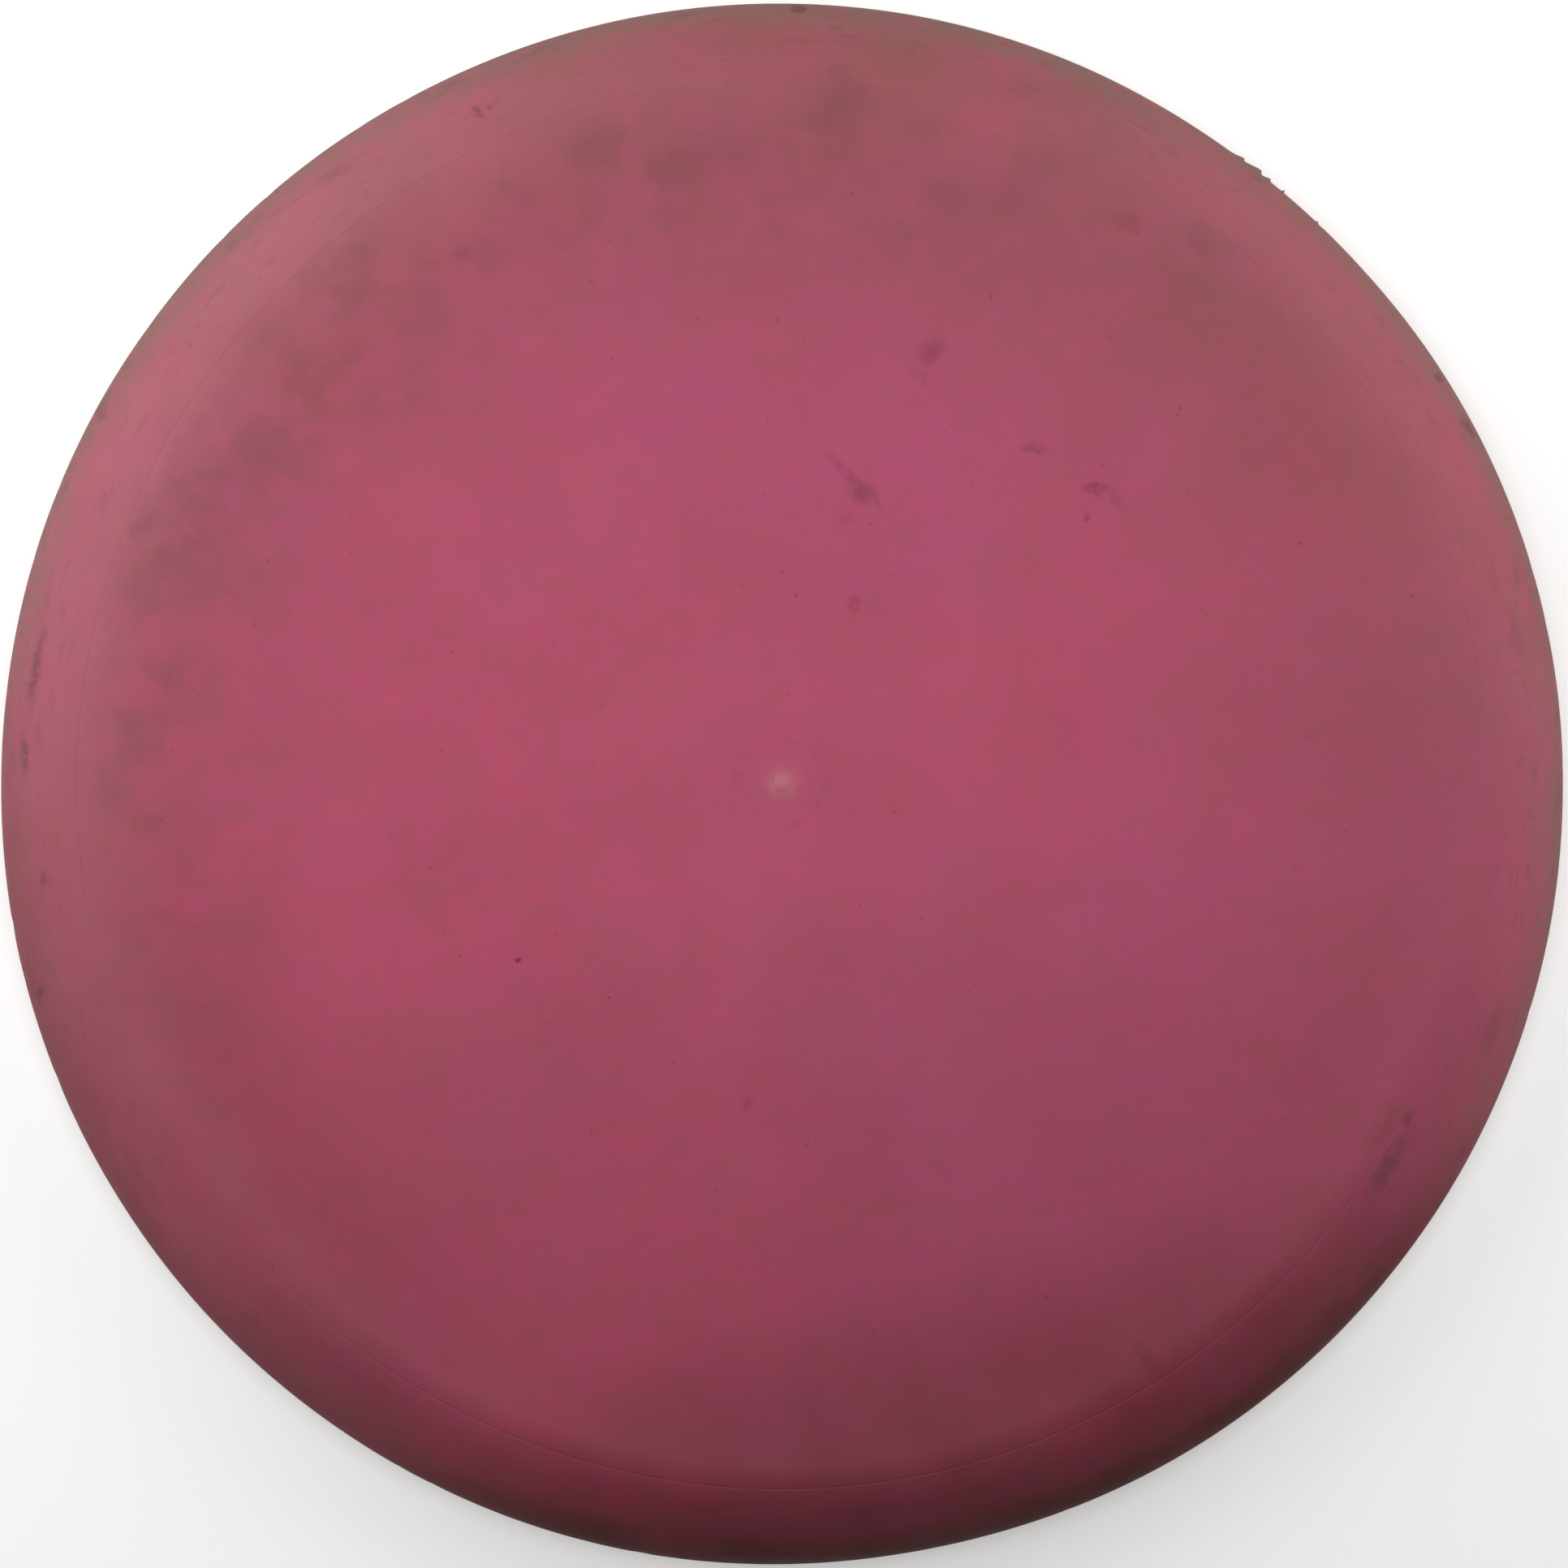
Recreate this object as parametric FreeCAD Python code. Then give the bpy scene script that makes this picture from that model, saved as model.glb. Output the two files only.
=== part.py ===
"""A flying disc of the putting and approach kind, in millimetres.

The disc is moulded in two shots. The first is the flight plate: a thin, slightly domed sheet whose edge
turns down into a tongue with a ring of holes. The second is the rim: the heavy ring that is thrown and
caught by, moulded over the tongue so that its plastic fills the holes and locks the two together.

The frame is the disc lying on its rim on a level surface: origin on the disc's axis in that surface, +Z up
out of the top of the flight plate. Every section is drawn in the half plane X > 0 and turned about Z.
"""

import FreeCAD, Part
import math
import os

# Whole disc
DISC_DIAMETER = 212.0
DISC_HEIGHT = 20.5  # from the ground to the crown of the dome

# Flight plate
DOME_RISE = 2.7  # crown above the crest, where dome and shoulder would meet
CREST_RADIUS = 16.0  # rounds the crest over
PLATE_THICKNESS = 2.2
SEAM_INSET = 12.2  # from the nose in to the seam on the top
GATE_NUB_DIAMETER = 2.8  # what is left of the moulding gate, on the axis
GATE_NUB_HEIGHT = 0.35
GATE_RING_DIAMETER = 11.6  # the print of the gate bushing round the nub
GATE_RING_WIDTH = 1.0
GATE_RING_DEPTH = 0.1

# Rim
RIM_WIDTH = 11.5  # from the nose in to the inner wall, where the wall meets the plate
NOSE_RADIUS = 6.1  # round outer edge, which also sets how high the nose stands
SHOULDER_RADIUS = 27.6  # the slope between the seam and the nose
WALL_DRAFT_DEG = 2.0  # the inner wall opens downwards
INNER_CORNER_RADIUS = 3.0  # under the plate
FOOT_CORNER_RADIUS = 1.8  # between the inner wall and the ground

# Lock between the two shots
SHOULDER_COVER = 1.1  # rim plastic over the tongue
TONGUE_THICKNESS = 2.0
TONGUE_REACH = 4.9  # how far the tongue runs into the rim from the inner wall
KEY_HOLES = 36
KEY_HOLE_DIAMETER = 2.4

# Places that follow from the sizes above
DISC_RADIUS = DISC_DIAMETER / 2
SEAM_RADIUS = DISC_RADIUS - SEAM_INSET
SEAM_HEIGHT = DISC_HEIGHT - DOME_RISE
DOME_RADIUS = (SEAM_RADIUS**2 + DOME_RISE**2) / (2 * DOME_RISE)
WALL_RADIUS = DISC_RADIUS - RIM_WIDTH
TONGUE_RADIUS = WALL_RADIUS + TONGUE_REACH

AXIS_FOOT = FreeCAD.Vector(0, 0, 0)
UP = FreeCAD.Vector(0, 0, 1)


def at(radius, height):
    """A point of the half section."""
    return FreeCAD.Vector(radius, 0, height)


def line(start, end):
    return Part.LineSegment(start, end).toShape()


def arc(start, through, end):
    return Part.Arc(start, through, end).toShape()


def turned(edges):
    """The solid that a closed section sweeps round the disc's axis."""
    section = Part.Face(Part.Wire(edges))
    return section.revolve(AXIS_FOOT, UP, 360)


def height_on(centre, radius, reach):
    """How high the upper half of a section's circle stands at a distance from the disc's axis."""
    return centre.z + math.sqrt(radius**2 - (reach - centre.x) ** 2)


def on_circle(centre, radius, reach):
    return at(reach, height_on(centre, radius, reach))


def shoulder_centre(seam, nose_centre):
    """Centre of the circle through the seam that runs smoothly into the nose's circle."""
    to_seam = SHOULDER_RADIUS
    to_nose = SHOULDER_RADIUS - NOSE_RADIUS
    across = seam - nose_centre
    apart = across.Length
    along = (to_nose**2 - to_seam**2 + apart**2) / (2 * apart)
    aside = math.sqrt(to_nose**2 - along**2)
    across.normalize()
    square = at(-across.z, across.x)
    return nose_centre + across * along + square * aside


def crest_centre(dome_centre, shoulder_centre):
    """Centre of the circle that runs smoothly into the dome inwards and into the shoulder outwards."""
    to_dome = DOME_RADIUS - CREST_RADIUS
    to_shoulder = SHOULDER_RADIUS - CREST_RADIUS
    across = shoulder_centre - dome_centre
    apart = across.Length
    along = (to_dome**2 - to_shoulder**2 + apart**2) / (2 * apart)
    aside = math.sqrt(to_dome**2 - along**2)
    across.normalize()
    square = at(across.z, -across.x)
    return dome_centre + across * along + square * aside


def run_on(centre, radius, inner_centre):
    """Where the circle about a centre meets a smaller one that touches it from inside."""
    outward = inner_centre - centre
    outward.normalize()
    return centre + outward * radius


SEAM = at(SEAM_RADIUS, SEAM_HEIGHT)
NOSE_CENTRE = at(DISC_RADIUS - NOSE_RADIUS, NOSE_RADIUS)
SHOULDER_CENTRE = shoulder_centre(SEAM, NOSE_CENTRE)
DOME_CENTRE = at(0, DISC_HEIGHT - DOME_RADIUS)
CREST_CENTRE = crest_centre(DOME_CENTRE, SHOULDER_CENTRE)


def circle_edges(solid, reach, height):
    """The solid's edges that circle its axis at one distance and one height."""
    found = []
    for edge in solid.Edges:
        box = edge.BoundBox
        round_here = abs(box.XMax - reach) < 1e-3 and abs(box.ZMin - height) < 1e-3
        if round_here and abs(box.ZMax - box.ZMin) < 1e-3:
            found.append(edge)
    return found


def whole_disc():
    """Both shots as one shape: dome, shoulder, round nose, flat foot and hollow underside."""
    crown = at(0, DISC_HEIGHT)
    crest_start = run_on(DOME_CENTRE, DOME_RADIUS, CREST_CENTRE)
    crest_end = run_on(SHOULDER_CENTRE, SHOULDER_RADIUS, CREST_CENTRE)
    nose_start = run_on(SHOULDER_CENTRE, SHOULDER_RADIUS, NOSE_CENTRE)
    dome_middle = on_circle(DOME_CENTRE, DOME_RADIUS, crest_start.x / 2)
    crest_middle = on_circle(CREST_CENTRE, CREST_RADIUS, (crest_start.x + crest_end.x) / 2)
    shoulder_middle = on_circle(SHOULDER_CENTRE, SHOULDER_RADIUS, (crest_end.x + nose_start.x) / 2)
    nose = at(DISC_RADIUS, NOSE_RADIUS)
    foot_outside = at(NOSE_CENTRE.x, 0)

    inside_radius = DOME_RADIUS - PLATE_THICKNESS
    wall_top = on_circle(DOME_CENTRE, inside_radius, WALL_RADIUS)
    foot_inside = at(WALL_RADIUS + wall_top.z * math.tan(math.radians(WALL_DRAFT_DEG)), 0)
    underside_middle = on_circle(DOME_CENTRE, inside_radius, WALL_RADIUS / 2)
    crown_underside = at(0, DISC_HEIGHT - PLATE_THICKNESS)

    disc = turned(
        [
            arc(crown, dome_middle, crest_start),
            arc(crest_start, crest_middle, crest_end),
            arc(crest_end, shoulder_middle, nose_start),
            arc(nose_start, nose, foot_outside),
            line(foot_outside, foot_inside),
            line(foot_inside, wall_top),
            arc(wall_top, underside_middle, crown_underside),
            line(crown_underside, crown),
        ]
    )
    disc = disc.makeFillet(INNER_CORNER_RADIUS, circle_edges(disc, wall_top.x, wall_top.z))
    return disc.makeFillet(FOOT_CORNER_RADIUS, circle_edges(disc, foot_inside.x, 0))


def plate_space():
    """The space the first shot fills: all inside the seam, and the tongue under the shoulder."""
    over = SHOULDER_RADIUS - SHOULDER_COVER
    under = over - TONGUE_THICKNESS
    above = DISC_HEIGHT + PLATE_THICKNESS
    step = on_circle(SHOULDER_CENTRE, over, SEAM_RADIUS)
    tip_over = on_circle(SHOULDER_CENTRE, over, TONGUE_RADIUS)
    inward = SHOULDER_CENTRE - tip_over
    inward.normalize()
    tip_under = tip_over + inward * TONGUE_THICKNESS
    root = on_circle(SHOULDER_CENTRE, under, WALL_RADIUS)
    over_middle = on_circle(SHOULDER_CENTRE, over, (step.x + tip_over.x) / 2)
    under_middle = on_circle(SHOULDER_CENTRE, under, (root.x + tip_under.x) / 2)
    return turned(
        [
            line(at(0, above), at(SEAM_RADIUS, above)),
            line(at(SEAM_RADIUS, above), step),
            arc(step, over_middle, tip_over),
            line(tip_over, tip_under),
            arc(tip_under, under_middle, root),
            line(root, at(0, root.z)),
            line(at(0, root.z), at(0, above)),
        ]
    )


def key_holes():
    """The ring of upright holes through the tongue."""
    reach = (WALL_RADIUS + TONGUE_RADIUS) / 2
    hole = Part.makeCylinder(KEY_HOLE_DIAMETER / 2, DISC_HEIGHT, at(reach, 0), UP)
    holes = []
    for number in range(KEY_HOLES):
        copy = hole.copy()
        copy.rotate(AXIS_FOOT, UP, number * 360 / KEY_HOLES)
        holes.append(copy)
    return Part.Compound(holes)


def gate_nub():
    """A low round button standing on the crown."""
    half = GATE_NUB_DIAMETER / 2
    ball_radius = (half**2 + GATE_NUB_HEIGHT**2) / (2 * GATE_NUB_HEIGHT)
    ball_centre = at(0, DISC_HEIGHT + GATE_NUB_HEIGHT - ball_radius)
    ball = Part.makeSphere(ball_radius, ball_centre)
    buried = PLATE_THICKNESS / 2
    keep = Part.makeCylinder(half, buried + GATE_NUB_HEIGHT, at(0, DISC_HEIGHT - buried), UP)
    return ball.common(keep)


def gate_ring():
    """A shallow round-bottomed groove about the nub, as the ring that cuts it."""
    reach = GATE_RING_DIAMETER / 2
    groove_radius = ((GATE_RING_WIDTH / 2) ** 2 + GATE_RING_DEPTH**2) / (2 * GATE_RING_DEPTH)
    surface = height_on(DOME_CENTRE, DOME_RADIUS, reach)
    return Part.makeTorus(reach, groove_radius, at(0, surface - GATE_RING_DEPTH + groove_radius), UP)


def flight_plate(disc):
    plate = disc.common(plate_space()).cut(key_holes())
    return plate.cut(gate_ring()).fuse(gate_nub()).removeSplitter()


def rim(disc):
    return disc.cut(plate_space()).fuse(disc.common(key_holes()).common(plate_space()))


def one_solid(shape):
    """The only solid of a shape."""
    solids = shape.Solids
    if len(solids) != 1 or not solids[0].isValid():
        raise ValueError(f"expected one valid solid, found {len(solids)}")
    return solids[0]


def main():
    os.makedirs("parts", exist_ok=True)
    disc = whole_disc()
    parts = {"flight_plate": flight_plate(disc), "rim": rim(disc)}
    for name, shape in parts.items():
        solid = one_solid(shape)
        solid.exportStep(f"parts/{name}.step")
        print(name, "volume", round(solid.Volume / 1000, 2), "cm3")


main()
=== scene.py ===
# %% [markdown]
# # A well-used flying disc
# The disc is two mouldings that grip each other for good: a thin domed flight plate, and a heavy
# round-nosed rim moulded over the plate's edge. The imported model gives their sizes. This script
# builds finer versions of both, wears them, gives them their finish, and lights them.

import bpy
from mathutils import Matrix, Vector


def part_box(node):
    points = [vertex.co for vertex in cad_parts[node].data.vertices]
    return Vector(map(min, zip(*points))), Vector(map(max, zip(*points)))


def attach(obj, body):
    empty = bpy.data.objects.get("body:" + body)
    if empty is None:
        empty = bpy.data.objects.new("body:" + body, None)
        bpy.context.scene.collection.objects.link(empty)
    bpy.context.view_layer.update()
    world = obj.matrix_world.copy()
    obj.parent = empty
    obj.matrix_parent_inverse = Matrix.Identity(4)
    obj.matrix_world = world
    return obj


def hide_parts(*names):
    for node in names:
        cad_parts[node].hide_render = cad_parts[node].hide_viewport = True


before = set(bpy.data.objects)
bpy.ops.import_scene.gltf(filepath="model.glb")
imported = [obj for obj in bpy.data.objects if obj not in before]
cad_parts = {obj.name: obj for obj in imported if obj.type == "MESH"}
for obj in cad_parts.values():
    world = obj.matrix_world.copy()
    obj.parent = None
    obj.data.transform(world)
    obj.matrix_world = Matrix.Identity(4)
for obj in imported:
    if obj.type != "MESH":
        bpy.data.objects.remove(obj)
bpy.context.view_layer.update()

import math
import random

import bmesh
import bpy
from mathutils import Matrix, Vector, noise

# %% [markdown]
# ## Sizes
# Blender works in metres here, so sizes that are thought of in millimetres are multiplied by MM.
# The overall sizes are read from the frame. The others repeat the design's own driving sizes, so
# that the fine meshes fill the same space as the plain ones.

# %% Sizes
MM = 0.001
rim_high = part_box("rim")[1]
plate_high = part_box("flight_plate")[1]

DISC_RADIUS = rim_high.x
NUB_HEIGHT = 0.35 * MM
CROWN_HEIGHT = plate_high.z - NUB_HEIGHT
DOME_RISE = 2.7 * MM
SEAM_RADIUS = DISC_RADIUS - 12.2 * MM
CREST_RADIUS = 16.0 * MM
PLATE_THICKNESS = 2.2 * MM
WALL_RADIUS = DISC_RADIUS - 11.5 * MM
TONGUE_RADIUS = WALL_RADIUS + 4.9 * MM
NOSE_RADIUS = 6.1 * MM
SHOULDER_RADIUS = 27.6 * MM
TONGUE_OVER = SHOULDER_RADIUS - 1.1 * MM
TONGUE_UNDER = TONGUE_OVER - 2.0 * MM
WALL_DRAFT = math.radians(2.0)
CORNER_RADIUS = 3.0 * MM
FOOT_RADIUS = 1.8 * MM
SEAM_BREAK = 0.012 * MM
WELD = 0.002 * MM
print(f"disc {2000 * DISC_RADIUS:.1f} mm across, crown at {1000 * CROWN_HEIGHT:.2f} mm")

# %% [markdown]
# ## The circles of the section
# A moulded disc is a solid of revolution, so its whole shape is in one half section, drawn in the
# plane of X and Z. Every curved stretch of that outline is part of a circle. A stretch needs only
# the centre of its circle and the lean, the angle from straight up, at which it ends. Where two
# stretches run smoothly into each other, both centres and the joint lie on one line, so the lean
# of the joint is simply the lean of that line.

# %% Helpers for circles
def at(reach, height):
    """A point of the half section."""
    return Vector((reach, 0.0, height))


def lean(centre, point):
    """The angle from straight up, clockwise, at which a centre sees a point."""
    return math.atan2(point.x - centre.x, point.z - centre.z)


def lean_at(centre, radius, reach):
    """The lean of the point of a circle's upper half that is this far from the disc's axis."""
    return math.asin((reach - centre.x) / radius)


def on_circle(centre, radius, angle):
    return at(centre.x + radius * math.sin(angle), centre.z + radius * math.cos(angle))


def where_circles_meet(first, first_radius, second, second_radius, side):
    """The crossing of two circles that lies left (1) or right (-1) of the way between them."""
    way = second - first
    apart = way.length
    along = (first_radius**2 - second_radius**2 + apart**2) / (2 * apart)
    aside = math.sqrt(first_radius**2 - along**2)
    way.normalize()
    return first + way * along + at(-way.z, way.x) * side * aside


# %% Centres of the outside: dome, crest, shoulder and nose
dome_radius = (SEAM_RADIUS**2 + DOME_RISE**2) / (2 * DOME_RISE)
dome = at(0, CROWN_HEIGHT - dome_radius)
nose = at(DISC_RADIUS - NOSE_RADIUS, NOSE_RADIUS)
meeting = at(SEAM_RADIUS, CROWN_HEIGHT - DOME_RISE)
shoulder = where_circles_meet(
    meeting, SHOULDER_RADIUS, nose, SHOULDER_RADIUS - NOSE_RADIUS, -1
)
crest = where_circles_meet(
    dome, dome_radius - CREST_RADIUS, shoulder, SHOULDER_RADIUS - CREST_RADIUS, -1
)
print("shoulder leans", [round(math.degrees(lean(shoulder, p)), 1) for p in (crest, nose)])

# %% Height of the outside
crest_start = on_circle(dome, dome_radius, lean(dome, crest))
crest_end = on_circle(crest, CREST_RADIUS, lean(shoulder, crest))
shoulder_end = on_circle(nose, NOSE_RADIUS, lean(shoulder, nose))


def height_of_top(reach):
    """Height of the disc's outside at a distance from the axis."""
    if reach < crest_start.x:
        return on_circle(dome, dome_radius, math.asin(reach / dome_radius)).z
    if reach < crest_end.x:
        return on_circle(crest, CREST_RADIUS, lean_at(crest, CREST_RADIUS, reach)).z
    if reach < shoulder_end.x:
        return on_circle(shoulder, SHOULDER_RADIUS, lean_at(shoulder, SHOULDER_RADIUS, reach)).z
    return on_circle(nose, NOSE_RADIUS, lean_at(nose, NOSE_RADIUS, min(reach, DISC_RADIUS))).z


for millimetres in (0, 90, 95, 100, 105):
    print(f"{millimetres} mm out the top is {1000 * height_of_top(millimetres * MM):.2f} mm high")

# %% Centres of the inside: corner under the plate and corner at the foot
inside_radius = dome_radius - PLATE_THICKNESS
wall_top = on_circle(dome, inside_radius, lean_at(dome, inside_radius, WALL_RADIUS))
down_wall = at(math.sin(WALL_DRAFT), -math.cos(WALL_DRAFT))
off_wall = at(-math.cos(WALL_DRAFT), -math.sin(WALL_DRAFT))

beside_wall = wall_top + off_wall * CORNER_RADIUS - dome
level = beside_wall.dot(down_wall)
spare = (inside_radius - CORNER_RADIUS) ** 2 - beside_wall.length_squared
corner = dome + beside_wall - down_wall * (level + math.sqrt(level**2 + spare))
above_foot = wall_top.z - FOOT_RADIUS
foot_reach = (FOOT_RADIUS + above_foot * math.sin(WALL_DRAFT)) / math.cos(WALL_DRAFT)
foot = at(wall_top.x + foot_reach, FOOT_RADIUS)
root = on_circle(shoulder, TONGUE_UNDER, lean_at(shoulder, TONGUE_UNDER, WALL_RADIUS))
root_lean = math.acos((root.z - corner.z) / CORNER_RADIUS)
print("corner", corner, "foot", foot, "tongue root", root)

# %% [markdown]
# ## Drawing with a single vertex
# `bmesh.ops.spin` is known for turning an outline into a solid, but given one vertex it sweeps
# that vertex round a centre and leaves a chain of edges behind: an arc. `extrude_vert_indiv` and
# a move leave a straight edge. So a section is drawn the way a pencil and a pair of compasses
# would draw it, by carrying one vertex along. The sweep is split by spacing, so the mesh is fine
# where the shape is small and plain where it is flat.

# %% Pencil and compasses
SECTION_PLANE = (0.0, 1.0, 0.0)
SHARP = math.radians(35)


def sweep(bm, pencil, centre, end_lean, spacing):
    """Carry a vertex along a circle to a lean and return the vertex at the end."""
    turn = end_lean - lean(centre, pencil.co)
    if turn < -math.pi:
        turn += 2 * math.pi
    length = abs(turn) * (pencil.co - centre).length
    made = bmesh.ops.spin(
        bm,
        geom=[pencil],
        cent=centre,
        axis=SECTION_PLANE,
        angle=turn,
        steps=max(2, math.ceil(length / spacing)),
    )
    return next(g for g in made["geom_last"] if isinstance(g, bmesh.types.BMVert))


def rule(bm, pencil, end, spacing):
    """Carry a vertex along a straight line and return the vertex at the end."""
    way = end - pencil.co
    steps = max(1, math.ceil(way.length / spacing))
    for _ in range(steps):
        pencil = bmesh.ops.extrude_vert_indiv(bm, verts=[pencil])["verts"][0]
        bmesh.ops.translate(bm, verts=[pencil], vec=way / steps)
    return pencil


def turn_section(bm, doublings, steps):
    """Turn the drawn outline about Z: a narrow wedge by spin, then copies of all there is."""
    wedge = 2 * math.pi / 2**doublings
    outline = bm.edges[:] + bm.verts[:]
    bmesh.ops.spin(bm, geom=outline, axis=(0, 0, 1), angle=wedge, steps=steps)
    for _ in range(doublings):
        made = bmesh.ops.duplicate(bm, geom=bm.verts[:] + bm.edges[:] + bm.faces[:])
        copied = [g for g in made["geom"] if isinstance(g, bmesh.types.BMVert)]
        bmesh.ops.rotate(bm, verts=copied, matrix=Matrix.Rotation(wedge, 3, "Z"))
        wedge *= 2
    bmesh.ops.remove_doubles(bm, verts=bm.verts[:], dist=WELD)
    bmesh.ops.recalc_face_normals(bm, faces=bm.faces[:])


def settle(bm, name, node):
    """Make the mesh an object that stands for a node of the frame and rides on its body."""
    for face in bm.faces:
        face.smooth = True
    for edge in bm.edges:
        if len(edge.link_faces) == 2 and edge.calc_face_angle() > SHARP:
            edge.smooth = False
    mesh = bpy.data.meshes.new(name)
    bm.to_mesh(mesh)
    bm.free()
    piece = bpy.data.objects.new(name, mesh)
    bpy.context.scene.collection.objects.link(piece)
    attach(piece, "root")
    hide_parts(node)
    print(name, len(mesh.vertices), "vertices", len(mesh.polygons), "faces")
    return piece


# %% [markdown]
# ## The flight plate
# The plate is the first shot: a sheet 2.2 mm thick, slightly domed so that it keeps its shape in
# the air, with an edge that turns down into the tongue the rim grips. The outline runs from the
# crown out along the top, down the seam, round the tongue, and back along the underside to the
# axis. The gate zone at the middle is drawn much finer than the rest, because the gate's nub is
# only a few millimetres wide.

# %% Draw and turn the flight plate
GATE_ZONE = 7.0 * MM


def lead_into_break(radius, reach):
    """Centre of the small round at the seam's lip, for a lip at this distance from the axis."""
    return on_circle(crest, radius, lean_at(crest, radius, reach))


def draw_plate(bm):
    crest_lean = lean(dome, crest)
    lip = lead_into_break(CREST_RADIUS - SEAM_BREAK, SEAM_RADIUS - SEAM_BREAK)
    step = on_circle(shoulder, TONGUE_OVER, lean_at(shoulder, TONGUE_OVER, SEAM_RADIUS))
    tip_lean = lean_at(shoulder, TONGUE_OVER, TONGUE_RADIUS)

    pencil = bm.verts.new(at(0, CROWN_HEIGHT))
    pencil = sweep(bm, pencil, dome, lean_at(dome, dome_radius, GATE_ZONE), 0.22 * MM)
    pencil = sweep(bm, pencil, dome, crest_lean, 1.5 * MM)
    pencil = sweep(bm, pencil, crest, lean(crest, lip), 0.3 * MM)
    pencil = sweep(bm, pencil, lip, math.pi / 2, 0.03 * MM)
    pencil = rule(bm, pencil, step, 1 * MM)
    pencil = sweep(bm, pencil, shoulder, tip_lean, 1.5 * MM)
    pencil = rule(bm, pencil, on_circle(shoulder, TONGUE_UNDER, tip_lean), 1 * MM)
    pencil = sweep(bm, pencil, shoulder, lean(shoulder, root), 1.5 * MM)
    pencil = rule(bm, pencil, on_circle(corner, CORNER_RADIUS, root_lean), 1 * MM)
    pencil = sweep(bm, pencil, corner, lean(dome, corner), 0.4 * MM)
    sweep(bm, pencil, dome, 0, 2.5 * MM)


plate_mesh = bmesh.new()
draw_plate(plate_mesh)
turn_section(plate_mesh, doublings=5, steps=12)

# %% [markdown]
# ## What the mould and the years left on the plate
# Molten plastic enters the mould through a gate at the exact middle. Snapping the gate off leaves
# a low nub on a faint swelling, and the bushing round it prints a ring 11.6 mm across. A disc
# that has been thrown for years is also no longer true: the plate has long shallow waves. Both
# are moves of the vertices along Z. A low nub is a cap of a sphere, and smooth noise makes waves.

# %% Raise the gate nub, press the ring, and let the plate wave
NUB_RADIUS = 1.4 * MM
SWELL_HEIGHT = 0.18 * MM
SWELL_REACH = 2.4 * MM
RING_RADIUS = 5.8 * MM
RING_WIDTH = 0.4 * MM
RING_DEPTH = 0.012 * MM
WAVE_HEIGHT = 0.11 * MM
SKIN_DEPTH = 0.2 * MM


def bell(distance, width):
    """1 at no distance, and falling off smoothly over about this width."""
    return math.exp(-((distance / width) ** 2))


def gate_height(reach):
    cap = max(0.0, 1 - (reach / NUB_RADIUS) ** 2) ** 2 * (NUB_HEIGHT - SWELL_HEIGHT)
    swell = SWELL_HEIGHT * bell(reach, SWELL_REACH)
    return cap + swell - RING_DEPTH * bell(reach - RING_RADIUS, RING_WIDTH)


def wave(point, reach):
    """Long shallow waves that die out at the gate and at the seam."""
    held = min(1.0, reach / (30 * MM)) * min(1.0, (SEAM_RADIUS - reach) / (12 * MM))
    long_wave = noise.noise(Vector((point.x * 21, point.y * 21, 4.0)))
    short_wave = noise.noise(Vector((point.x * 60, point.y * 60, 9.0)))
    return WAVE_HEIGHT * max(held, 0.0) * (long_wave + 0.25 * short_wave)


for vertex in plate_mesh.verts:
    reach = math.hypot(vertex.co.x, vertex.co.y)
    if reach < SEAM_RADIUS - SEAM_BREAK:
        dome_height = on_circle(dome, dome_radius, math.asin(reach / dome_radius)).z
        top = vertex.co.z > dome_height - SKIN_DEPTH
        vertex.co.z += wave(vertex.co, reach)
        if top and reach < GATE_ZONE:
            vertex.co.z += gate_height(reach)

plate = settle(plate_mesh, "flight_plate_moulding", "flight_plate")

# %% [markdown]
# ## The rim
# The rim is the second shot. Its outline starts in the groove that holds the tongue, comes up the
# seam, rolls over the crest and the shoulder to the round nose, under the foot, up the drafted
# inner wall and back round the tongue.

# %% Draw and turn the rim
def draw_rim(bm):
    lip = lead_into_break(CREST_RADIUS - SEAM_BREAK, SEAM_RADIUS + SEAM_BREAK)
    step = on_circle(shoulder, TONGUE_OVER, lean_at(shoulder, TONGUE_OVER, SEAM_RADIUS))
    tip_lean = lean_at(shoulder, TONGUE_OVER, TONGUE_RADIUS)

    first = bm.verts.new(step)
    pencil = rule(bm, first, at(SEAM_RADIUS, lip.z), 1 * MM)
    pencil = sweep(bm, pencil, lip, lean(crest, lip), 0.03 * MM)
    pencil = sweep(bm, pencil, crest, lean(shoulder, crest), 0.3 * MM)
    pencil = sweep(bm, pencil, shoulder, lean(shoulder, nose), 0.42 * MM)
    pencil = sweep(bm, pencil, nose, math.pi, 0.42 * MM)
    pencil = rule(bm, pencil, at(foot.x, 0), 1 * MM)
    pencil = sweep(bm, pencil, foot, math.pi * 1.5 - WALL_DRAFT, 0.5 * MM)
    pencil = rule(bm, pencil, corner - off_wall * CORNER_RADIUS, 1.2 * MM)
    pencil = sweep(bm, pencil, corner, root_lean, 0.4 * MM)
    pencil = rule(bm, pencil, root, 1 * MM)
    pencil = sweep(bm, pencil, shoulder, tip_lean, 1.5 * MM)
    pencil = rule(bm, pencil, on_circle(shoulder, TONGUE_OVER, tip_lean), 1 * MM)
    sweep(bm, pencil, shoulder, lean(shoulder, step), 1.5 * MM)
    bmesh.ops.remove_doubles(bm, verts=bm.verts[:], dist=WELD)


rim_mesh = bmesh.new()
draw_rim(rim_mesh)
turn_section(rim_mesh, doublings=5, steps=20)

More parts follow.
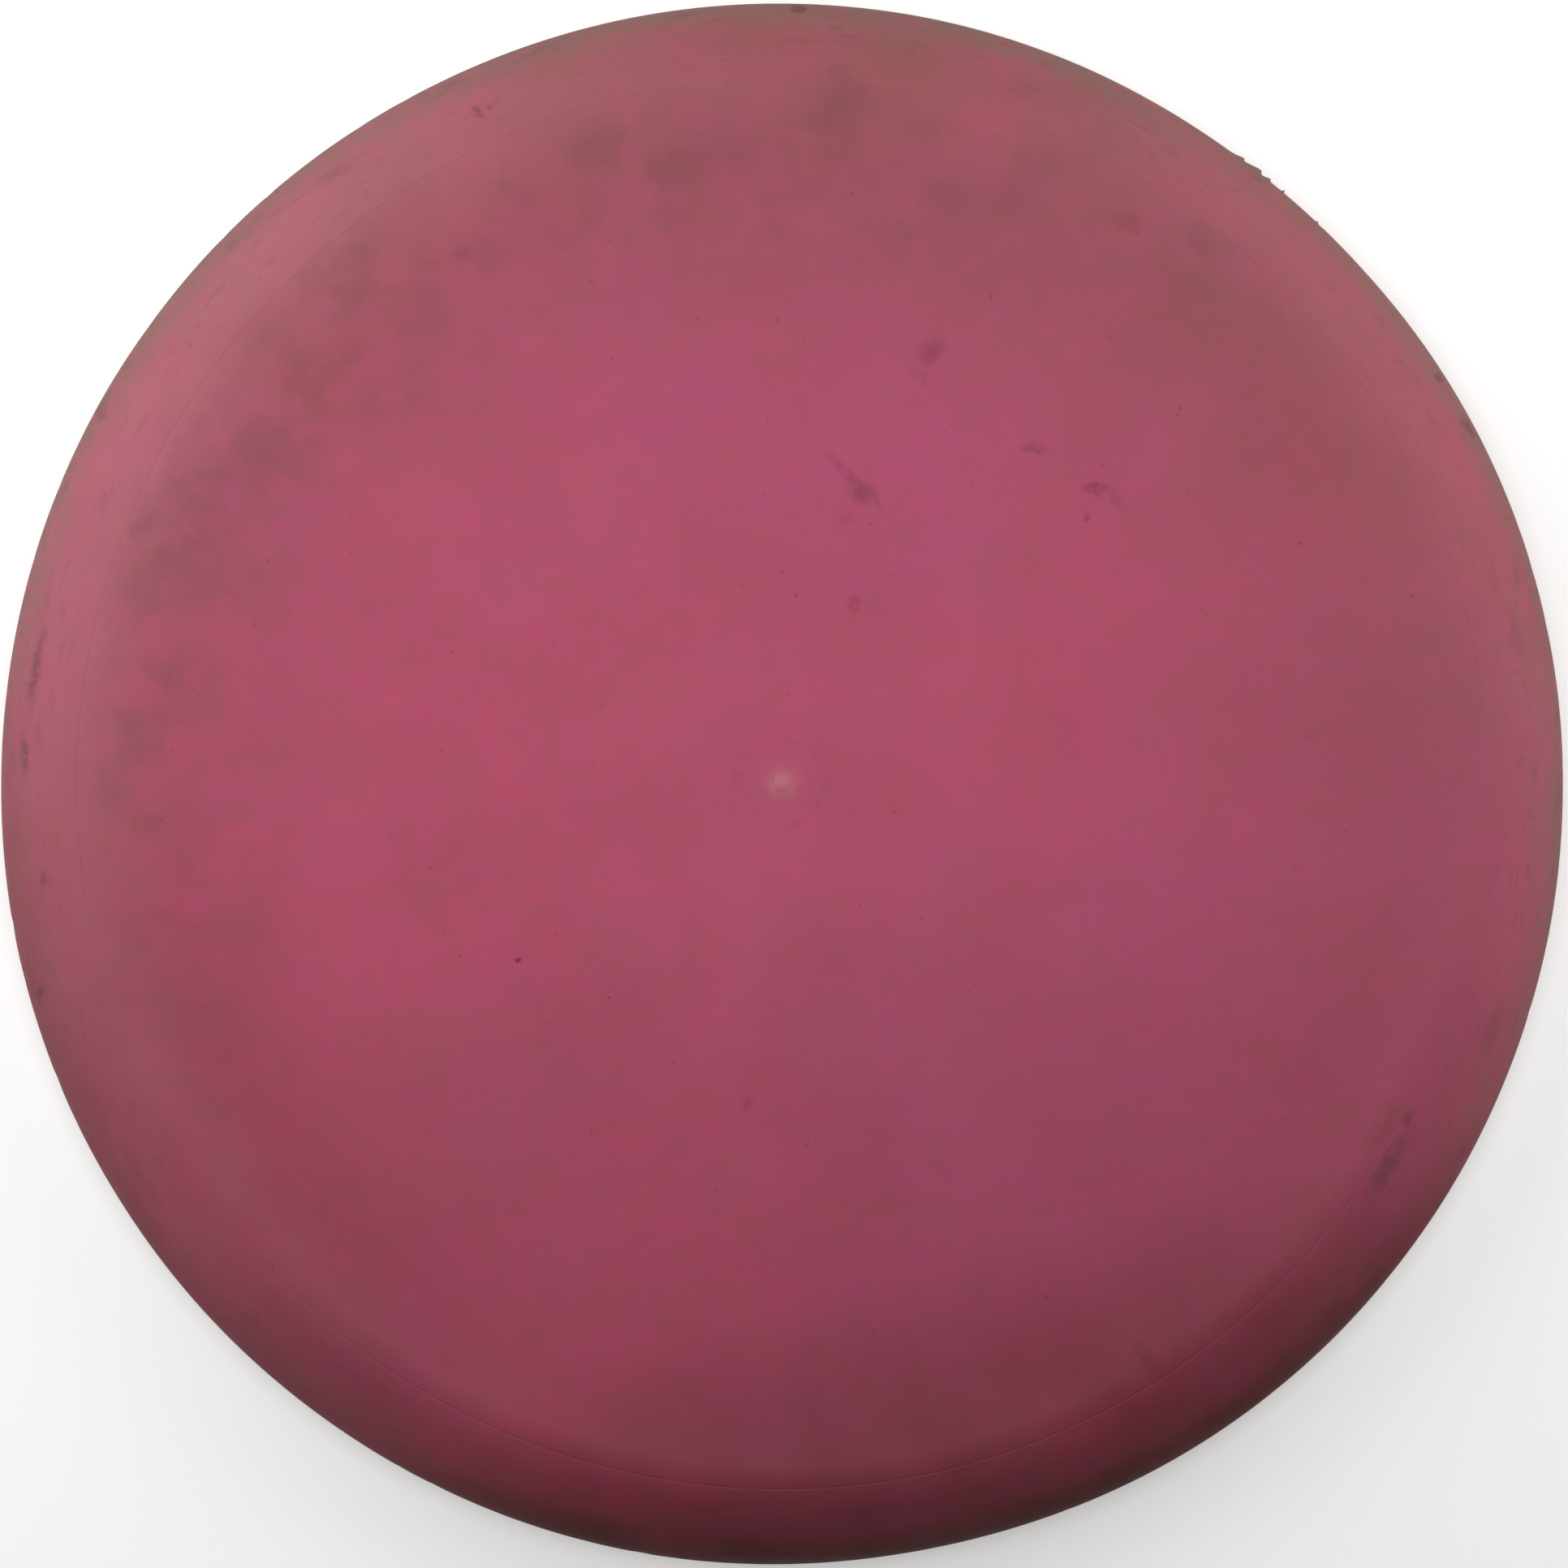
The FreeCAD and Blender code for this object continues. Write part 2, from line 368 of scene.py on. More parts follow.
# %% [markdown]
# ## What trees did to the nose
# Soft plastic that hits bark or a chain at speed isn't cut away, it is pushed up into small lips,
# steep on one side. One stretch of this nose has a row of them, each a millimetre or two long and
# under half a millimetre proud. Hits also leave the disc a little out of round: two long stretches
# are flatter by half a millimetre or so. The mesh under the lips is first made finer, by cutting
# every edge that runs round the disc there. Then all of it is moves of vertices along the disc's
# radius, and small nicks are scattered all round with a fixed seed.

# %% Cut the mesh finer where the nose is chewed
CHEWED_FROM = 45.5
CHEWED_TO = 55.5
FINER = 6


def azimuth(point):
    """The direction of a point from the axis, in degrees."""
    return math.degrees(math.atan2(point.y, point.x))


def runs_round(edge):
    first, second = (vertex.co for vertex in edge.verts)
    level = abs(first.z - second.z) < 0.01 * MM
    return level and abs(first.xy.length - second.xy.length) < 0.01 * MM


chewed = [
    edge
    for edge in rim_mesh.edges
    if runs_round(edge) and all(CHEWED_FROM < azimuth(v.co) < CHEWED_TO for v in edge.verts)
]
bmesh.ops.subdivide_edges(rim_mesh, edges=chewed, cuts=FINER, use_grid_fill=True)
print("cut", len(chewed), "edges, now", len(rim_mesh.faces), "faces")

# %% Push up the lips and press in the dents
# Azimuth in degrees, half width in degrees, and depth in mm.
FLATS = [(50, 21, 0.72), (-79, 17, 0.45), (176, 10, 0.15)]
# Azimuth in degrees, length round the disc, height on the nose, width up it, and lift in mm.
LIPS = [
    (53.55, 1.1, 7.4, 2.4, 0.32),
    (52.0, 1.8, 7.2, 2.4, 0.46),
    (51.06, 0.7, 7.4, 2.0, 0.34),
    (49.7, 0.30, 7.2, 1.4, 0.42),
    (46.35, 0.26, 7.0, 1.4, 0.26),
]
NICKS = 40
STEEP_SIDE = 0.12
KNOCKED_FROM = 96 * MM
KNOCKED_FULLY = 104 * MM
OUTSIDE_WALL = 100.5 * MM

chance = random.Random(7)
for _ in range(NICKS):
    place = chance.uniform(-180, 180)
    up_nose = chance.gauss(7.5, 2.0)
    width = chance.uniform(0.8, 2.0)
    LIPS.append((place, chance.uniform(0.5, 1.8), up_nose, width, -chance.uniform(0.04, 0.13)))


def come_on(value, start, end):
    """0 before start, 1 after end, and smooth between them."""
    share = min(1.0, max(0.0, (value - start) / (end - start)))
    return share * share * (3 - 2 * share)


def turn_from(place, here):
    """The turn from one azimuth to another, in degrees, the short way round."""
    return (here - place + 180) % 360 - 180


def lip(beside, height, length, up_nose, width, lift):
    """Long on the side that the plastic came from and steep on the other."""
    length_of_side = length if beside > 0 else STEEP_SIDE * length
    return lift * bell(beside, length_of_side) * bell(height - up_nose, width)


def push_outwards(point, reach):
    """How far a point of the nose moves from the axis, in mm."""
    here = azimuth(point)
    height = point.z / MM
    push = -sum(depth * bell(turn_from(place, here), wide) for place, wide, depth in FLATS)
    push += 0.04 * noise.noise(point * 60) - 0.03
    push *= come_on(reach, KNOCKED_FROM, KNOCKED_FULLY)
    for place, length, up_nose, width, lift in LIPS:
        beside = math.radians(turn_from(place, here)) * reach / MM
        if abs(beside) < 3 * length and height > 1.5:
            push += lip(beside, height, length, up_nose, width, lift)
    return push


for vertex in rim_mesh.verts:
    reach = vertex.co.xy.length
    near_top = vertex.co.z > height_of_top(reach) - SKIN_DEPTH
    near_ground = vertex.co.z / MM < 2
    if reach > KNOCKED_FROM and (near_top or near_ground or reach > OUTSIDE_WALL):
        vertex.co.xy *= 1 + push_outwards(vertex.co, reach) * MM / reach

rim = settle(rim_mesh, "rim_moulding", "rim")

# %% [markdown]
# ## Nodes in plain words
# A finish is a tree of small nodes, each doing one sum. The helpers below give those sums short
# names, so that a finish reads like a recipe: take a cloud of a certain size, fade it in between
# two levels, and mix a colour over another by that much. All sizes are real ones, in metres. The
# patterns are laid out on Object coordinates, which never slide, because both pieces sit at the
# origin.

# %% Helpers for node trees
def start_material(name):
    material = bpy.data.materials.new(name)
    material.use_nodes = True
    return material, material.node_tree, material.node_tree.nodes["Principled BSDF"]


def feed(tree, socket, value):
    """Give a socket a number, or a link from another node."""
    if isinstance(value, bpy.types.NodeSocket):
        tree.links.new(value, socket)
    else:
        socket.default_value = value


def add(tree, kind, inputs, **settings):
    node = tree.nodes.new(kind)
    for setting, value in settings.items():
        setattr(node, setting, value)
    for socket, value in inputs.items():
        feed(tree, node.inputs[socket], value)
    return node


def maths(tree, operation, first, second=0.0):
    return add(tree, "ShaderNodeMath", {0: first, 1: second}, operation=operation).outputs[0]


def arrows(tree, operation, first, second=(0.0, 0.0, 0.0)):
    node = add(tree, "ShaderNodeVectorMath", {0: first, 1: second}, operation=operation)
    return node.outputs["Vector"]


def fade(tree, value, start, end):
    """0 at start, 1 at end, and a smooth change between them."""
    inputs = {"Value": value, "From Min": start, "From Max": end}
    return add(tree, "ShaderNodeMapRange", inputs, interpolation_type="SMOOTHSTEP").outputs[0]


def mix(tree, amount, under, over):
    """One colour over another. Sockets 6 and 7 are the two colours of this node."""
    inputs = {0: amount, 6: under, 7: over}
    return add(tree, "ShaderNodeMix", inputs, data_type="RGBA").outputs[2]


def cloud(tree, where, size, detail=2.0):
    """Smooth noise with blobs of about this size. It stays near 0.5, between 0.3 and 0.7."""
    inputs = {"Vector": where, "Scale": 1 / size, "Detail": detail}
    return add(tree, "ShaderNodeTexNoise", inputs).outputs["Fac"]


# %% [markdown]
# ## Where on the disc
# Dirt and wear follow the shape: they need the distance from the middle, the height, and the way
# that the surface faces. Scuffs from rolling and grabbing run round the rim, so they are smooth
# noise too, but laid on a thinner ring: squeezing the circumference before the noise is read
# stretches the noise along it. A ring has no ends, so the pattern has no seam. A mark with its own
# place is a small oblong patch, at the height that the outside has there.

# %% Helpers for places on the disc
def read_place(tree):
    """Where a point is, as outputs: position, height, distance from the axis, and facing up."""
    source = add(tree, "ShaderNodeTexCoord", {})
    where = source.outputs["Object"]
    z = add(tree, "ShaderNodeSeparateXYZ", {0: where}).outputs["Z"]
    up = add(tree, "ShaderNodeSeparateXYZ", {0: source.outputs["Normal"]}).outputs["Z"]
    flat = arrows(tree, "MULTIPLY", where, (1.0, 1.0, 0.0))
    reach = add(tree, "ShaderNodeVectorMath", {0: flat}, operation="LENGTH").outputs["Value"]
    return where, z, reach, fade(tree, up, -0.1, 0.15)


def around(tree, where, z, reach, stretch):
    """Coordinates in which noise is drawn out along the circumference."""
    flat = arrows(tree, "MULTIPLY", where, (1.0, 1.0, 0.0))
    ring = add(tree, "ShaderNodeVectorMath", {0: flat}, operation="NORMALIZE").outputs["Vector"]
    squeezed = DISC_RADIUS / stretch
    ring = arrows(tree, "MULTIPLY", ring, (squeezed, squeezed, 0.0))
    across = add(tree, "ShaderNodeCombineXYZ", {"Z": maths(tree, "SUBTRACT", reach, z)})
    return arrows(tree, "ADD", ring, across.outputs[0])


def ragged(tree, where, size, amount):
    """The same coordinates, pushed about a little, so that marks get ragged edges."""
    push = add(tree, "ShaderNodeTexNoise", {"Vector": where, "Scale": 1 / size, "Detail": 3.0})
    push = arrows(tree, "SUBTRACT", push.outputs["Color"], (0.5, 0.5, 0.5))
    push = arrows(tree, "MULTIPLY", push, (amount, amount, amount))
    return arrows(tree, "ADD", where, push)


def mark(tree, where, spot, length, width, turn):
    """1 in the middle of an oblong mark and 0 outside it. The turn is in degrees."""
    inputs = {
        "Vector": where,
        "Location": spot,
        "Rotation": (0.0, 0.0, math.radians(turn)),
        "Scale": (length / 2, width / 2, 5 * MM),
    }
    inside = add(tree, "ShaderNodeMapping", inputs, vector_type="TEXTURE").outputs[0]
    far = add(tree, "ShaderNodeVectorMath", {0: inside}, operation="LENGTH").outputs["Value"]
    return fade(tree, far, 1.25, 0.25)


def marks(tree, where, rows):
    """All the marks of a list together, each as dark as its own last number."""
    total = 0.0
    for x, y, length, width, turn, strength in rows:
        spot = (x * MM, y * MM, height_of_top(math.hypot(x, y) * MM))
        one = mark(tree, where, spot, length * MM, width * MM, turn)
        total = maths(tree, "MAXIMUM", total, maths(tree, "MULTIPLY", one, strength))
    return total


# %% [markdown]
# ## Dyed plastic
# Both shots are the same soft pink plastic. The dye is never quite even: it drifts from cooler to
# browner over a few centimetres, with blotches a few millimetres wide over that, and years in
# bags and grass have stained it finely. The moulded skin has a faint grain, and use leaves hair
# scratches in every direction. These go for both pieces, so they are made once, here.

# %% Pink plastic that both pieces share
CLEAN_PINK = (0.535, 0.0550, 0.140, 1.0)
COOL_PINK = (0.455, 0.0620, 0.165, 1.0)
BROWN_PINK = (0.445, 0.0630, 0.108, 1.0)
STAINED = (0.340, 0.0720, 0.088, 1.0)
PURPLE_PINK = (0.420, 0.0560, 0.190, 1.0)
PALE_PINK = (0.620, 0.260, 0.300, 1.0)
DIRT = (0.115, 0.040, 0.040, 1.0)
BRUISED = (0.170, 0.018, 0.040, 1.0)


def dyed_pink(tree, where):
    drift = fade(tree, cloud(tree, where, 50 * MM), 0.35, 0.65)
    colour = mix(tree, maths(tree, "MULTIPLY", drift, 0.55), CLEAN_PINK, COOL_PINK)
    blotch = fade(tree, cloud(tree, where, 16 * MM, 5.0), 0.38, 0.64)
    colour = mix(tree, maths(tree, "MULTIPLY", blotch, 0.40), colour, BROWN_PINK)
    elsewhere = arrows(tree, "ADD", where, (0.3, 0.1, 0.2))
    tint = fade(tree, cloud(tree, elsewhere, 5 * MM, 4.0), 0.38, 0.62)
    colour = mix(tree, maths(tree, "MULTIPLY", tint, 0.12), colour, PURPLE_PINK)
    mottle = fade(tree, cloud(tree, where, 3.5 * MM, 5.0), 0.40, 0.66)
    return mix(tree, maths(tree, "MULTIPLY", mottle, 0.19), colour, STAINED)


def hair_scratches(tree, where):
    """Fine straight scratches in four directions, from noise that is long one way."""
    total = 0.0
    for turn, length, width in ((20, 14, 0.26), (-38, 10, 0.22), (74, 16, 0.28), (118, 9, 0.20)):
        inputs = {
            "Vector": where,
            "Rotation": (0.0, 0.0, math.radians(turn)),
            "Location": (turn * MM, length * MM, 0.0),
            "Scale": (length * MM, width * MM, 40 * MM),
        }
        drawn = add(tree, "ShaderNodeMapping", inputs, vector_type="TEXTURE").outputs[0]
        line = fade(tree, cloud(tree, drawn, 1.0, 1.0), 0.71, 0.77)
        total = maths(tree, "MAXIMUM", total, line)
    return total


def skin(tree, shader, where, scratches, extra):
    """Bump in real millimetres: grain, soft unevenness, scratches, and what a piece adds."""
    grain = maths(tree, "MULTIPLY", cloud(tree, where, 0.45 * MM, 2.0), 0.006)
    ripple = maths(tree, "MULTIPLY", cloud(tree, where, 6 * MM, 2.0), 0.030)
    height = maths(tree, "ADD", grain, ripple)
    height = maths(tree, "SUBTRACT", height, maths(tree, "MULTIPLY", scratches, 0.004))
    height = maths(tree, "ADD", height, extra)
    bump = add(tree, "ShaderNodeBump", {"Height": height, "Distance": MM})
    feed(tree, shader.inputs["Normal"], bump.outputs[0])


# %% [markdown]
# ## Wear and painted shade that cross the seam
# Hands, grass and bags don't know where one shot ends and the other starts, so all of this is laid
# over both pieces by one helper, and the seam hardly shows. An olive-brown tint darkens the outer
# part, away from the clean middle, most of it on the back half. The front edge, which gets no lamp
# of its own, is darkened to a deep red, most of all at the nose: that is painted shade. The
# shoulder is rubbed pale, more on the left where the lamps light it, so that pale is partly wear
# and partly painted sheen. The foot of the slope, where cloths don't reach, keeps clusters of
# small smudges.
# Each is a product of simple fades: one by place, one by noise, and one that keeps it on the top.

# %% Wear and painted shade on both pieces
OLIVE_TINT = (0.160, 0.085, 0.045, 1.0)
# The deep red of the painted shade on the front edge.
PAINTED_SHADE_RED = (0.110, 0.005, 0.002, 1.0)


def along(tree, where, direction):
    """How far a point lies in a direction across the disc."""
    inputs = {0: where, 1: (*direction, 0.0)}
    return add(tree, "ShaderNodeVectorMath", inputs, operation="DOT_PRODUCT").outputs["Value"]


def product(tree, *factors):
    total = factors[0]
    for factor in factors[1:]:
        total = maths(tree, "MULTIPLY", total, factor)
    return total


def uneven(tree, where, size, amount):
    """A factor near 1 that noise moves up and down by about this much."""
    swing = maths(tree, "MULTIPLY", cloud(tree, where, size, 4.0), 6 * amount)
    return maths(tree, "ADD", swing, 1 - 3 * amount)


def worn_and_shaded_pink(tree, where, reach, top):
    colour = dyed_pink(tree, where)

    # An olive-brown tint over the outer part, most of it on the back half.
    back = fade(tree, along(tree, where, (0.1, 1.0)), -75 * MM, 90 * MM)
    far_back = fade(tree, along(tree, where, (0.08, 1.0)), 86 * MM, 104 * MM)
    back = maths(tree, "ADD", product(tree, back, 0.38), product(tree, far_back, 0.16))
    back = maths(tree, "ADD", back, 0.07)
    olive_tint = product(tree, fade(tree, reach, 42 * MM, 98 * MM), back)
    olive_tint = product(tree, olive_tint, uneven(tree, where, 18 * MM, 0.2), top)
    colour = mix(tree, olive_tint, colour, OLIVE_TINT)

    # Painted shade: darker red towards the front edge and the front left, the sides that the lamps
    # leave in shade, and darkest at the nose there.
    broad = product(tree, fade(tree, along(tree, where, (0.05, -1.0)), 8 * MM, 52 * MM), 0.22)
    front = fade(tree, along(tree, where, (0.25, -0.968)), 54 * MM, 92 * MM)
    front = maths(tree, "MAXIMUM", front, broad)
    front_left = fade(tree, along(tree, where, (-0.77, -0.64)), 54 * MM, 98 * MM)
    front_left = product(tree, front_left, 0.66)
    front = maths(tree, "MAXIMUM", front, front_left)
    depth = maths(tree, "ADD", product(tree, fade(tree, reach, 99 * MM, 105 * MM), 0.42), 0.56)
    stain_and_shade = product(tree, front, uneven(tree, where, 10 * MM, 0.10), top, depth)
    colour = mix(tree, stain_and_shade, colour, PAINTED_SHADE_RED)

    # Paler rubbing on the shoulder, heavier on the left where the lamps light it: partly wear,
    # partly painted sheen.
    left = fade(tree, along(tree, where, (-1.0, 0.2)), 0.0, 90 * MM)
    left = maths(tree, "ADD", product(tree, left, 0.10), 0.05)
    rubbed_and_sheen = product(tree, fade(tree, reach, 80 * MM, 95 * MM), left)
    rubbed_and_sheen = product(tree, rubbed_and_sheen, uneven(tree, where, 8 * MM, 0.15), top)
    colour = mix(tree, rubbed_and_sheen, colour, PALE_PINK)

    foot_of_slope = fade(tree, reach, 62 * MM, 84 * MM)
    foot_of_slope = product(tree, foot_of_slope, fade(tree, reach, 96 * MM, 87 * MM))
    upper_left = fade(tree, along(tree, where, (-0.7, 0.7)), 0.0, 75 * MM)
    upper_left = maths(tree, "ADD", product(tree, upper_left, 0.19), 0.05)
    smudges = fade(tree, cloud(tree, where, 7 * MM, 5.0), 0.42, 0.68)
    smudges = product(tree, smudges, foot_of_slope, upper_left, top)
    colour = mix(tree, smudges, colour, DIRT)
    return colour, olive_tint, stain_and_shade


# %% [markdown]
# ## The flight plate's finish
# A few scuffs and specks on the plate have their own places: each is an oblong spot with ragged
# edges. Round the gate the plastic was stressed as the gate snapped off, so it is pale there. All
# this is on the top only, because the hollow side is sheltered.

# %% Flight plate material
# Place from the axis in mm (x, y), length and width in mm, turn in degrees, and strength.
SCUFFS = [
    (10.3, 38.9, 4.8, 3.6, -46, 0.46),
    (9.6, 40.6, 13.5, 2.2, -46, 0.30),
    (8.9, 35.0, 2.6, 1.8, 30, 0.14),
    (20.0, 57.6, 5.2, 2.8, 60, 0.42),
    (18.4, 54.2, 4.5, 2.4, -30, 0.22),
    (23.5, 51.5, 8.0, 3.5, -40, 0.10),
    (33.8, 44.6, 3.6, 1.4, 0, 0.42),
    (41.5, 39.1, 4.6, 2.2, 0, 0.46),
    (44.6, 37.6, 4.6, 2.0, -50, 0.18),
    (40.4, 35.4, 1.5, 1.1, 20, 0.46),
    (9.4, 24.2, 2.1, 2.8, 0, 0.34),
    (17.5, 40.5, 1.4, 1.0, 0, 0.30),
    (-34.7, -23.1, 1.0, 1.0, 0, 1.00),
    (-22.8, -28.3, 0.6, 0.5, 0, 0.70),
    (-31.1, -31.5, 0.5, 0.4, 0, 0.70),
    (-4.7, -42.1, 1.8, 2.0, 0, 0.30),
    (-1.3, 0.6, 0.5, 1.3, 0, 0.45),
    (49.0, -76.8, 6.5, 2.6, -63, 0.42),
    (45.9, 74.8, 5.0, 3.4, 0, 0.24),
    (-42.6, 70.6, 3.0, 2.2, 0, 0.24),
    (0.0, 28.0, 1.0, 0.7, 0, 0.35),
    (18.8, -18.0, 0.6, 0.5, 0, 0.50),
]
STAINS = [
    (-57.6, 71.0, 16, 7, 38, 0.14),
    (-63.5, 52.0, 12, 8, 50, 0.18),
    (-52.0, 52.0, 14, 9, 20, 0.10),
    (-84.5, 33.5, 8, 5, 66, 0.22),
    (-79.0, 47.0, 9, 5, 60, 0.14),
    (9.5, 92.0, 9, 5, -12, 0.20),
    (55.8, 73.4, 12, 6, -42, 0.16),
    (80.0, -46.0, 12, 5, 58, 0.20),
    (5.0, 69.0, 40, 14, 4, 0.07),
    (-45.0, -12.0, 26, 16, 20, 0.09),
    (30.0, 24.0, 24, 12, 70, 0.04),
    (-68.0, -14.0, 20, 10, 80, 0.08),
]

plate_plastic, tree, shader = start_material("plate_plastic")
where, z, reach, top = read_place(tree)
colour, olive_tint, painted_shade = worn_and_shaded_pink(tree, where, reach, top)

soft_edge = ragged(tree, where, 9 * MM, 9 * MM)
patchy = fade(tree, cloud(tree, where, 3.0 * MM, 4.0), 0.30, 0.62)
stain_and_shade = product(tree, marks(tree, soft_edge, STAINS), patchy, top, 1.3)
colour = mix(tree, stain_and_shade, colour, DIRT)

scratches = hair_scratches(tree, where)
colour = mix(tree, product(tree, scratches, 0.035), colour, PALE_PINK)

rough_edge = ragged(tree, where, 2.4 * MM, 2.6 * MM)
broken = fade(tree, cloud(tree, where, 1.0 * MM, 3.0), 0.25, 0.5)
scuff = product(tree, marks(tree, rough_edge, SCUFFS), broken, top)
colour = mix(tree, scuff, colour, BRUISED)

specks = fade(tree, cloud(tree, where, 1.3 * MM, 1.0), 0.775, 0.80)
colour = mix(tree, product(tree, specks, top, 0.4), colour, BRUISED)

skirt = product(tree, fade(tree, reach, 4.2 * MM, 1.2 * MM), 0.12)
core = product(tree, fade(tree, reach, 2.2 * MM, 0.8 * MM), 0.26)
pale = product(tree, maths(tree, "ADD", skirt, core), top)
colour = mix(tree, pale, colour, PALE_PINK)
printed = fade(tree, reach, 4.4 * MM, 5.7 * MM)
printed = product(tree, printed, fade(tree, reach, 7.2 * MM, 5.9 * MM))
broken_ring = fade(tree, cloud(tree, where, 2.2 * MM, 1.0), 0.45, 0.62)
printed = product(tree, printed, broken_ring, top, 0.10)
colour = mix(tree, printed, colour, BRUISED)
feed(tree, shader.inputs["Base Color"], colour)

rougher = maths(tree, "ADD", product(tree, olive_tint, 0.30), product(tree, scuff, 0.2))
worn = product(tree, cloud(tree, where, 18 * MM, 4.0), 0.22)
roughness = maths(tree, "ADD", maths(tree, "ADD", worn, 0.44), rougher)
feed(tree, shader.inputs["Roughness"], roughness)
skin(tree, shader, where, scratches, 0.0)
plate.data.materials.append(plate_plastic)
print("plate_plastic", len(tree.nodes), "nodes")

# %% [markdown]
# ## The rim's finish
# The rim takes the knocks. Scuffs and smears run round it, it is peppered with small specks, and
# the nose, which meets trees, ground and chains, has turned grey-brown with dirt that is ground
# in for good. The grime is laid on by height, with a ragged upper edge, so it follows the nose
# all round, and the plastic under it is pitted.

# %% Rim material
GRIME = (0.225, 0.128, 0.105, 1.0)
RIM_SCUFFS = [
    (-99.9, 15.6, 12.5, 2.0, 80, 0.55),
    (-101.6, 4.1, 7.0, 1.4, 90, 0.50),
    (-98.5, -12.8, 2.4, 1.8, 80, 0.50),
    (-99.7, -27.8, 3.0, 2.0, 80, 0.55),
    (81.0, -50.4, 13.0, 3.0, 58, 0.50),
    (83.2, -44.3, 3.0, 2.2, 58, 0.50),
    (92.7, 48.1, 3.4, 1.8, -60, 0.60),
    (88.8, 54.7, 2.4, 1.4, -58, 0.55),
    (7.9, 94.5, 7.0, 3.4, -5, 0.25),
    (2.1, 104.8, 3.0, 1.6, 0, 0.60),
    (-6.9, -102.0, 3.6, 1.8, 4, 0.70),
    (-40.5, 89.9, 1.6, 2.6, 10, 0.60),
    (-38.8, 90.6, 1.4, 1.0, 0, 0.40),
    (98.5, 20.0, 9.0, 2.4, -80, 0.25),
    (95.0, -33.0, 10.0, 3.0, 70, 0.30),
    (-86.0, -52.0, 9.0, 2.4, -58, 0.30),
    (-60.0, 82.0, 7.0, 2.2, 36, 0.25),
    (-92.0, 50.5, 3.0, 2.4, 50, 0.35),
]

rim_plastic, tree, shader = start_material("rim_plastic")
where, z, reach, top = read_place(tree)
colour, olive_tint, painted_shade = worn_and_shaded_pink(tree, where, reach, top)
outside = fade(tree, reach, SEAM_RADIUS - 1 * MM, SEAM_RADIUS + 0.5 * MM)
coming_on = fade(tree, reach, SEAM_RADIUS, SEAM_RADIUS + 4 * MM)

drawn = around(tree, where, z, reach, 4.0)
level = maths(tree, "ADD", z, product(tree, cloud(tree, drawn, 5 * MM, 5.0), -8 * MM))
grime = fade(tree, level, 10.5 * MM, 3.0 * MM)
patchy = fade(tree, cloud(tree, where, 1.8 * MM, 4.0), 0.15, 0.62)
# Less grime where the front edge already carries painted shade.
spared = maths(tree, "SUBTRACT", 1.0, product(tree, painted_shade, 1.5))
grime = product(tree, grime, patchy, outside, spared)
colour = mix(tree, grime, colour, GRIME)

scratches = hair_scratches(tree, where)
long_scratch = around(tree, where, z, reach, 40.0)
running = fade(tree, cloud(tree, long_scratch, 0.5 * MM, 1.0), 0.68, 0.75)
scratches = maths(tree, "MAXIMUM", scratches, product(tree, running, coming_on))
colour = mix(tree, product(tree, scratches, 0.06), colour, PALE_PINK)

smear = fade(tree, cloud(tree, around(tree, where, z, reach, 2.5), 2.2 * MM, 4.0), 0.56, 0.70)
specks = fade(tree, cloud(tree, where, 1.6 * MM, 2.0), 0.66, 0.74)
smear = product(tree, maths(tree, "MAXIMUM", smear, specks), coming_on, 0.18)
rough_edge = ragged(tree, where, 2.4 * MM, 2.8 * MM)
broken = fade(tree, cloud(tree, where, 1.1 * MM, 3.0), 0.25, 0.5)
scuff = product(tree, marks(tree, rough_edge, RIM_SCUFFS), broken)
scuff = maths(tree, "MAXIMUM", smear, scuff)
colour = mix(tree, scuff, colour, DIRT)
feed(tree, shader.inputs["Base Color"], colour)

rougher = maths(tree, "ADD", product(tree, grime, 0.22), product(tree, scuff, 0.1))
worn = product(tree, cloud(tree, drawn, 6 * MM, 4.0), 0.22)
roughness = maths(tree, "ADD", maths(tree, "ADD", worn, 0.56), rougher)
feed(tree, shader.inputs["Roughness"], roughness)
pits = product(tree, cloud(tree, where, 1.4 * MM, 4.0), fade(tree, z, 12 * MM, 6 * MM), 0.10)
skin(tree, shader, where, scratches, pits)
rim.data.materials.append(rim_plastic)
print("rim_plastic", len(tree.nodes), "nodes")

# %% [markdown]
# ## A pale floor
# The disc lies on a plain pale sheet that lets a little light through from below. That keeps the
# floor pale on the shaded side too. The glow is for the eye only: the Light Path node leaves it
# out of the light that falls on the disc.

# %% Floor
FLOOR_GLOW = 0.35
FLOOR_REACH = 6.0

floor_mesh = bmesh.new()
bmesh.ops.create_grid(floor_mesh, x_segments=1, y_segments=1, size=FLOOR_REACH)
floor_data = bpy.data.meshes.new("pale_floor")
floor_mesh.to_mesh(floor_data)
floor_mesh.free()
floor = bpy.data.objects.new("pale_floor", floor_data)
bpy.context.scene.collection.objects.link(floor)

pale_sheet, tree, shader = start_material("pale_sheet")
shader.inputs["Base Color"].default_value = (0.88, 0.88, 0.87, 1.0)
shader.inputs["Roughness"].default_value = 0.8
shader.inputs["Specular IOR Level"].default_value = 0.2
shader.inputs["Emission Color"].default_value = (1.0, 1.0, 0.99, 1.0)
seen_directly = add(tree, "ShaderNodeLightPath", {}).outputs["Is Camera Ray"]
feed(tree, shader.inputs["Emission Strength"], maths(tree, "MULTIPLY", seen_directly, FLOOR_GLOW))
floor_data.materials.append(pale_sheet)

# %% [markdown]
# ## Soft light from five lamps
# The disc is lit as it would be on a table near a window: most of the light comes from straight
# above and from the top left and top right, and a little comes in low from each side. Every lamp
# is a soft round one aimed at the middle, so a place and a power are all that it needs. The side
# nearest the viewer gets nothing of its own and falls into shade, which is what shows the rim's
# roundness.

